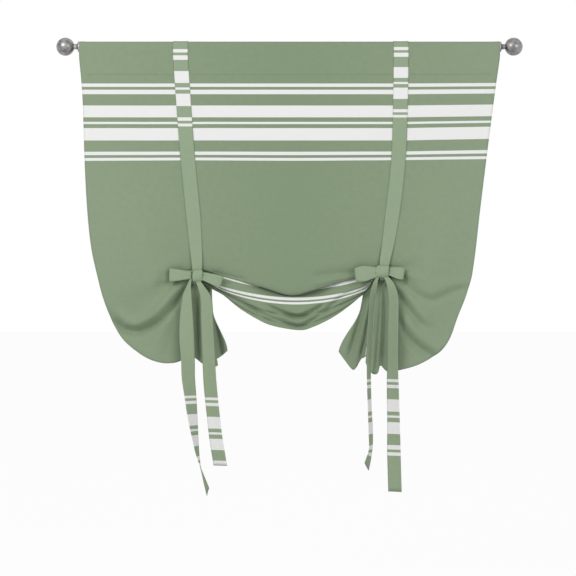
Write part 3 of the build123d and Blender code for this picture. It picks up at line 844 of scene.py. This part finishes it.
# The outer and the inner loop of each bow, as bow_loop takes them after the knot
LOOPS = {"left": ((-1, 1.2, 2, 60, (20, 39), 0, 7, 3), (1, 0.2, 1, 60, (20, 36), 18, 7, 3)),
         "right": ((-1, 1.2, -1, 67, (24, 55), 7, 8, 20), (1, -1.0, 0, 43, (19, 42), 9, 8, 12))}


def tail_part(name, knot):
    """A tail as make_tie takes it: its stripes are counted back from its cut end."""
    stations = tail(knot, TAILS[name])
    run = Route([station[0] for station in stations]).length * MM
    cut_end, step = TAIL_STRIPES[name]
    return (stations, cut_end + step * run, -step, 1.0)


def make_tie(name, knot, parts, core=False):
    """One tie: its strips share a mesh, with a thin wall."""
    bm = bmesh.new()
    length = 0
    for stations, start, step, cup in parts:
        length += strip(bm, stations, start, step, cup, gather=0 if step else LOOP_GATHER)
    if core:
        knot_core(bm, knot)
    made = new_object(name + "_cloth", bm)
    thicken(made, TIE_THICKNESS)
    print(name, "is", round(length), "mm long")
    return made, length


ties = {}
for side, knot, column in (("left", LEFT_KNOT, left_column), ("right", RIGHT_KNOT, right_column)):
    wrap_aside, wrap_width = WRAPS[side]
    wrap = knot_wrap(knot[0] + wrap_aside, knot[1], wrap_width)
    outer_loop, inner_loop = (bow_loop(knot, *loop) for loop in LOOPS[side])
    front = side + "_front_tie"
    back = side + "_back_tie"
    ties[front] = make_tie(front, knot, [
        (front_strap(column, knot), *STRAP_STRIPES[side], 0.5), (outer_loop, *PLAIN, 0.6),
        tail_part(front, knot)], core=True)
    ties[back] = make_tie(back, knot, [
        (back_strap(column, knot), *STRAP_STRIPES[side], 0.5), (wrap, *PLAIN, 1.5),
        (inner_loop, *PLAIN, 0.6), tail_part(back, knot)])

# %% [markdown]
# Every finish here is a small tree of shader nodes. A few helpers keep the trees short to read:
# for a new material, a sum, a mix of two colours, noise, waves and a bump.

# %% Make helpers for the finishes
def material(name):
    """A new material, with its nodes and links."""
    made = bpy.data.materials.new(name)
    made.use_nodes = True
    return made, made.node_tree.nodes, made.node_tree.links


def feed(links, value, socket):
    """Links another node's output to a socket, or writes a plain value into it."""
    if isinstance(value, bpy.types.NodeSocket):
        links.new(value, socket)
    else:
        socket.default_value = value


def math_node(nodes, links, operation, *values):
    """One sum of plain values or other nodes' outputs."""
    node = nodes.new("ShaderNodeMath")
    node.operation = operation
    for socket, value in zip(node.inputs, values):
        feed(links, value, socket)
    return node.outputs[0]


def mixed(nodes, links, a, b, factor):
    """The colour a where the factor is 0, and b where it is 1."""
    node = nodes.new("ShaderNodeMix")
    node.data_type = "RGBA"
    for socket, value in (("A", a), ("B", b), ("Factor", factor)):
        feed(links, value, node.inputs[socket])
    return node.outputs["Result"]


def noise_node(nodes, links, vector, scale, detail):
    node = nodes.new("ShaderNodeTexNoise")
    node.inputs["Scale"].default_value = scale
    node.inputs["Detail"].default_value = detail
    links.new(vector, node.inputs["Vector"])
    return node.outputs["Fac"]


def wave_node(nodes, links, vector, direction, scale, distortion, detail):
    node = nodes.new("ShaderNodeTexWave")
    node.bands_direction = direction
    node.inputs["Scale"].default_value = scale
    node.inputs["Distortion"].default_value = distortion
    node.inputs["Detail"].default_value = detail
    links.new(vector, node.inputs["Vector"])
    return node.outputs["Fac"]


def add_bump(nodes, links, shader, height, strength, distance):
    bump = nodes.new("ShaderNodeBump")
    bump.inputs["Strength"].default_value = strength
    bump.inputs["Distance"].default_value = distance
    links.new(height, bump.inputs["Height"])
    links.new(bump.outputs["Normal"], shader.inputs["Normal"])


print("materials before the finishes:", len(bpy.data.materials))

# %% [markdown]
# The cloth is a plain weave: matt, with a faint sheen and threads about a millimetre apart. The
# stripes come from the flat cloth's own coordinate, counted from the nearer end, so one border
# serves the top of the panel, its hem and the ties. A ramp with hard steps holds the border.

# %% Weave the striped cloth
SAGE = (0.244, 0.312, 0.207)
SAGE_DEEP = (0.212, 0.280, 0.178)
WHITE = (0.77, 0.77, 0.765, 1)
BORDER = 125.0
STRIPES = ((0, 9.2), (16.4, 28.6), (59.7, 93.3), (104.9, 112.2), (122.4, 156.6), (187.6, 197.9),
           (206.2, 214.0))
RAMP_SPAN = 0.4
THREAD_SCALE = 300
# Painted light and shade: the green is painted paler towards the sides of the flat cloth, the ties
# with them, and deeper in its middle, where the panel falls in shade.
SIDE_PAINTED_LIGHT = 1.7
MIDDLE_PAINTED_SHADE = 0.55


def border_mask(nodes, links, from_top):
    """White where a stripe is, by the distance from the nearer end of the cloth."""
    from_hem = math_node(nodes, links, "SUBTRACT", CLOTH_LENGTH * MM, from_top)
    nearer = math_node(nodes, links, "MINIMUM", from_top, from_hem)
    ramp = nodes.new("ShaderNodeValToRGB")
    ramp.color_ramp.interpolation = "CONSTANT"
    elements = ramp.color_ramp.elements
    elements.remove(elements[1])
    elements[0].color = (0, 0, 0, 1)
    for start, end in STRIPES:
        elements.new((BORDER + start) * MM / RAMP_SPAN).color = (1, 1, 1, 1)
        elements.new((BORDER + end) * MM / RAMP_SPAN).color = (0, 0, 0, 1)
    links.new(math_node(nodes, links, "DIVIDE", nearer, RAMP_SPAN), ramp.inputs[0])
    return ramp.outputs["Color"]


def green_dye_and_painted_shade(nodes, links, flat, from_side, painted_brightness):
    """The green dye, cloudy, with painted light towards the cloth's sides and painted shade in its
    middle.
    """
    from_middle = math_node(nodes, links, "ABSOLUTE",
                            math_node(nodes, links, "SUBTRACT", from_side, EDGE * MM))
    painted_light_and_shade = math_node(nodes, links, "SUBTRACT",
                       math_node(nodes, links, "MULTIPLY", from_middle, SIDE_PAINTED_LIGHT),
                       MIDDLE_PAINTED_SHADE)
    slub = noise_node(nodes, links, flat, scale=60, detail=6)
    deep, pale = ((*(painted_brightness * c for c in colour), 1) for colour in (SAGE_DEEP, SAGE))
    return mixed(nodes, links, deep, pale, math_node(nodes, links, "ADD", slub, painted_light_and_shade))


def striped_cloth(name, painted_brightness):
    """The curtain's cloth, with its green made brighter or darker by a painted brightness, as
    painted light.
    """
    made, nodes, links = material(name)
    shader = nodes["Principled BSDF"]
    flat_map = nodes.new("ShaderNodeUVMap")
    flat_map.uv_map = "UVMap"
    flat = flat_map.outputs[0]
    parts = nodes.new("ShaderNodeSeparateXYZ")
    links.new(flat, parts.inputs[0])
    green = green_dye_and_painted_shade(nodes, links, flat, parts.outputs[0], painted_brightness)
    stripes = border_mask(nodes, links, parts.outputs[1])
    links.new(mixed(nodes, links, green, WHITE, stripes), shader.inputs["Base Color"])
    shader.inputs["Roughness"].default_value = 0.92
    shader.inputs["Specular IOR Level"].default_value = 0.15
    shader.inputs["Sheen Weight"].default_value = 0.08
    shader.inputs["Sheen Roughness"].default_value = 0.6
    threads = [wave_node(nodes, links, flat, direction, THREAD_SCALE, distortion=1.5, detail=1)
               for direction in ("X", "Y")]
    weave = math_node(nodes, links, "MULTIPLY", *threads)
    add_bump(nodes, links, shader, weave, strength=0.25, distance=0.0003)
    return made


curtain.data.materials.append(striped_cloth("panel cloth", 1.0))
# The ties are the same cloth as the panel, with their green painted 14 per cent brighter as painted
# light.
tie_material = striped_cloth("tie cloth painted lighter", 1.14)
for tie, _ in ties.values():
    tie.data.materials.append(tie_material)
print("stripes:", len(STRIPES), "in each border")

# %% [markdown]
# The rod's ends are turned balls in brushed nickel, each with a neck and a collar. The solids
# already have the true outline, so they keep it and only get their metal: fine rings left by the
# lathe, a grey that is clouded by tarnish and a broad highlight. The rod is plain drawn steel.

# %% Finish the metal
NICKEL = (0.38, 0.37, 0.365, 1)
TARNISH = (0.17, 0.165, 0.165, 1)
STEEL = (0.62, 0.62, 0.62, 1)
BLACK = (0.03, 0.03, 0.03, 1)
CLEAN_LEVEL = 0.34
TARNISH_GAIN = 3.0


def metal(name, colour, roughness, ring_scale, tarnish=None):
    """A turned metal, with its rings round the rod's axis and with or without tarnish."""
    made, nodes, links = material(name)
    shader = nodes["Principled BSDF"]
    place = nodes.new("ShaderNodeTexCoord").outputs["Object"]
    if tarnish:
        cloud = noise_node(nodes, links, place, scale=70, detail=4)
        amount = math_node(nodes, links, "SUBTRACT", cloud, CLEAN_LEVEL)
        amount = math_node(nodes, links, "MULTIPLY", amount, TARNISH_GAIN)
        links.new(mixed(nodes, links, colour, tarnish, amount), shader.inputs["Base Color"])
    else:
        shader.inputs["Base Color"].default_value = colour
    shader.inputs["Metallic"].default_value = 1
    rings = wave_node(nodes, links, place, "X", ring_scale, distortion=2, detail=3)
    polish = nodes.new("ShaderNodeMapRange")
    polish.inputs["To Min"].default_value = roughness - 0.06
    polish.inputs["To Max"].default_value = roughness + 0.08
    links.new(rings, polish.inputs["Value"])
    links.new(polish.outputs["Result"], shader.inputs["Roughness"])
    add_bump(nodes, links, shader, rings, strength=0.1, distance=0.0001)
    return made


def moulded(name, colour):
    """Plastic from a mould, with a fine grain."""
    made, nodes, links = material(name)
    shader = nodes["Principled BSDF"]
    place = nodes.new("ShaderNodeTexCoord").outputs["Object"]
    grain = noise_node(nodes, links, place, scale=900, detail=2)
    add_bump(nodes, links, shader, grain, strength=0.1, distance=0.0001)
    shader.inputs["Base Color"].default_value = colour
    shader.inputs["Roughness"].default_value = 0.45
    return made


nickel = metal("brushed nickel", NICKEL, 0.36, 400, TARNISH)
steel = metal("drawn steel", STEEL, 0.35, 250)
black_plastic = moulded("black plastic", BLACK)
FINISHES = {"left_finial": nickel, "right_finial": nickel, "rod_outer_tube": steel,
            "rod_inner_tube": steel, "left_finial_stud": steel, "right_finial_stud": steel,
            "left_end_plug": black_plastic, "right_end_plug": black_plastic}
for node, finish in FINISHES.items():
    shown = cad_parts[node]
    shown.data.materials.clear()
    shown.data.materials.append(finish)
print("finished:", len(FINISHES), "nodes of the rod")

# %% [markdown]
# The pocket's back is sewn to the panel along one seam. Each stitch is a short six-sided length
# of thread just proud of the cloth, placed by the same drape as the cloth that it holds.

# %% Sew the pocket's seam
STITCH_PITCH = 4.2
STITCH_LENGTH = 3.0
THREAD_RADIUS = 0.3
STITCH_SIDES = 6
PROUD = 0.1
SEAM_INSET = 6
THREAD_DEEP = (0.26, 0.33, 0.22, 1)
THREAD_PALE = (0.32, 0.39, 0.28, 1)


def stitch_row(bm, places):
    """Stitches along a row of (u, v) places on the flat cloth, on the cloth's front."""
    for (u, v), (next_u, next_v) in zip(places, places[1:]):
        start = drape(u, v)
        end = drape(next_u, next_v)
        run = end - start
        if run.length < 0.5 * STITCH_LENGTH * MM:
            continue
        aside = drape(u - (next_v - v), v + (next_u - u)) - start
        normal = aside.cross(run).normalized()
        middle = (start + end) / 2 + normal * (HEM_THICKNESS / 2 + PROUD) * MM
        turn = run.to_track_quat("Z", "Y").to_matrix().to_4x4()
        bmesh.ops.create_cone(
            bm, cap_ends=True, segments=STITCH_SIDES, radius1=THREAD_RADIUS * MM,
            radius2=THREAD_RADIUS * MM, depth=STITCH_LENGTH * MM,
            matrix=Matrix.Translation(middle) @ turn)


def stepped(start, end):
    count = int((end - start) / STITCH_PITCH)
    return [start + STITCH_PITCH * i for i in range(count)]


def sewing_thread():
    made, nodes, links = material("sewing thread")
    shader = nodes["Principled BSDF"]
    place = nodes.new("ShaderNodeTexCoord").outputs["Object"]
    twist = noise_node(nodes, links, place, scale=2000, detail=2)
    colour = mixed(nodes, links, THREAD_DEEP, THREAD_PALE, twist)
    links.new(colour, shader.inputs["Base Color"])
    shader.inputs["Roughness"].default_value = 0.6
    return made


thread_bm = bmesh.new()
stitch_row(thread_bm, [(u, SEAM_V) for u in stepped(SEAM_INSET, CLOTH_WIDTH - SEAM_INSET)])
stitches = new_object("seam_stitches", thread_bm)
stitches.data.materials.append(sewing_thread())
print("seam stitches:", len(stitches.data.polygons) // (STITCH_SIDES + 2))

# %% [markdown]
# The curtain hangs in plain soft studio light, with nothing behind it, so it can be looked at
# from all sides. The lamps and the sky light it at an even level, so that the cloth's colour
# renders about as it is written. The sky is only turned up to white where the camera sees it,
# directly or mirrored in the metal.

# %% Light the studio
SKY_STRENGTH = 0.57
LAMP_AIM = Vector((0, 0, -0.6))


def seen_or_mirrored(nodes, links):
    """1 for what the camera sees directly or in a gloss, and 0 for what lights the curtain."""
    ray = nodes.new("ShaderNodeLightPath")
    return math_node(nodes, links, "MAXIMUM", ray.outputs["Is Camera Ray"],
                     ray.outputs["Is Glossy Ray"])


def lamp(name, place, size, power):
    data = bpy.data.lights.new(name, "AREA")
    data.shape = "SQUARE"
    data.size = size
    data.energy = power
    made = bpy.data.objects.new(name, data)
    made.location = place
    made.rotation_euler = (LAMP_AIM - Vector(place)).to_track_quat("-Z", "Y").to_euler()
    bpy.context.scene.collection.objects.link(made)


world = bpy.data.worlds.new("studio")
bpy.context.scene.world = world
world.use_nodes = True
sky_nodes = world.node_tree.nodes
sky_links = world.node_tree.links
sky = sky_nodes["Background"]
sky.inputs["Color"].default_value = (1, 1, 1, 1)
sky_range = sky_nodes.new("ShaderNodeMapRange")
sky_range.inputs["To Min"].default_value = SKY_STRENGTH
sky_range.inputs["To Max"].default_value = 1.0
sky_links.new(seen_or_mirrored(sky_nodes, sky_links), sky_range.inputs["Value"])
sky_links.new(sky_range.outputs["Result"], sky.inputs["Strength"])
lamp("key", (-2.2, -3.2, 1.3), 1.6, 72)
lamp("fill", (2.6, -3.4, 0.3), 2.4, 50)
print("lamps: 2, sky:", SKY_STRENGTH)

# %% [markdown]
# The floor is a sheet of pale paper. Like the sky it looks white, but it only lights the curtain
# as pale paper does. Seen from below it is clear, so the curtain can be looked at from there too.

# %% Lay the floor
FLOOR_Z = -1.6
FLOOR_SIZE = 40
PAPER = (0.68, 0.68, 0.68, 1)
PAPER_WHITENESS = 0.95


def shader_mix(nodes, links, factor, first, second):
    node = nodes.new("ShaderNodeMixShader")
    for socket, output in zip(node.inputs, (factor, first, second)):
        links.new(output, socket)
    return node.outputs[0]


def studio_paper():
    made, nodes, links = material("studio paper")
    shader = nodes["Principled BSDF"]
    shader.inputs["Base Color"].default_value = PAPER
    shader.inputs["Roughness"].default_value = 0.9
    glow = nodes.new("ShaderNodeEmission")
    glow.inputs["Strength"].default_value = 1.0
    whiteness = math_node(nodes, links, "MULTIPLY", seen_or_mirrored(nodes, links),
                          PAPER_WHITENESS)
    from_above = shader_mix(nodes, links, whiteness, shader.outputs[0], glow.outputs[0])
    side = nodes.new("ShaderNodeNewGeometry")
    clear = nodes.new("ShaderNodeBsdfTransparent")
    both_sides = shader_mix(nodes, links, side.outputs["Backfacing"], from_above, clear.outputs[0])
    links.new(both_sides, nodes["Material Output"].inputs["Surface"])
    return made


floor_bm = bmesh.new()
bmesh.ops.create_grid(floor_bm, x_segments=8, y_segments=8, size=FLOOR_SIZE,
                      matrix=Matrix.Translation((0, 0, FLOOR_Z)))
floor = new_object("studio_floor", floor_bm)
floor.data.materials.append(studio_paper())
print("floor at", FLOOR_Z, "m")

# %% [markdown]
# Last, each piece is hung on the body that carries it, and the frame's solid that a cloth piece
# stands for is hidden.

# %% Tell the frame
BODY = "rod_and_curtain"
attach(curtain, BODY)
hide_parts("curtain_panel")
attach(stitches, BODY)
for name, (tie, length) in ties.items():
    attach(tie, BODY)
    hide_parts(name)
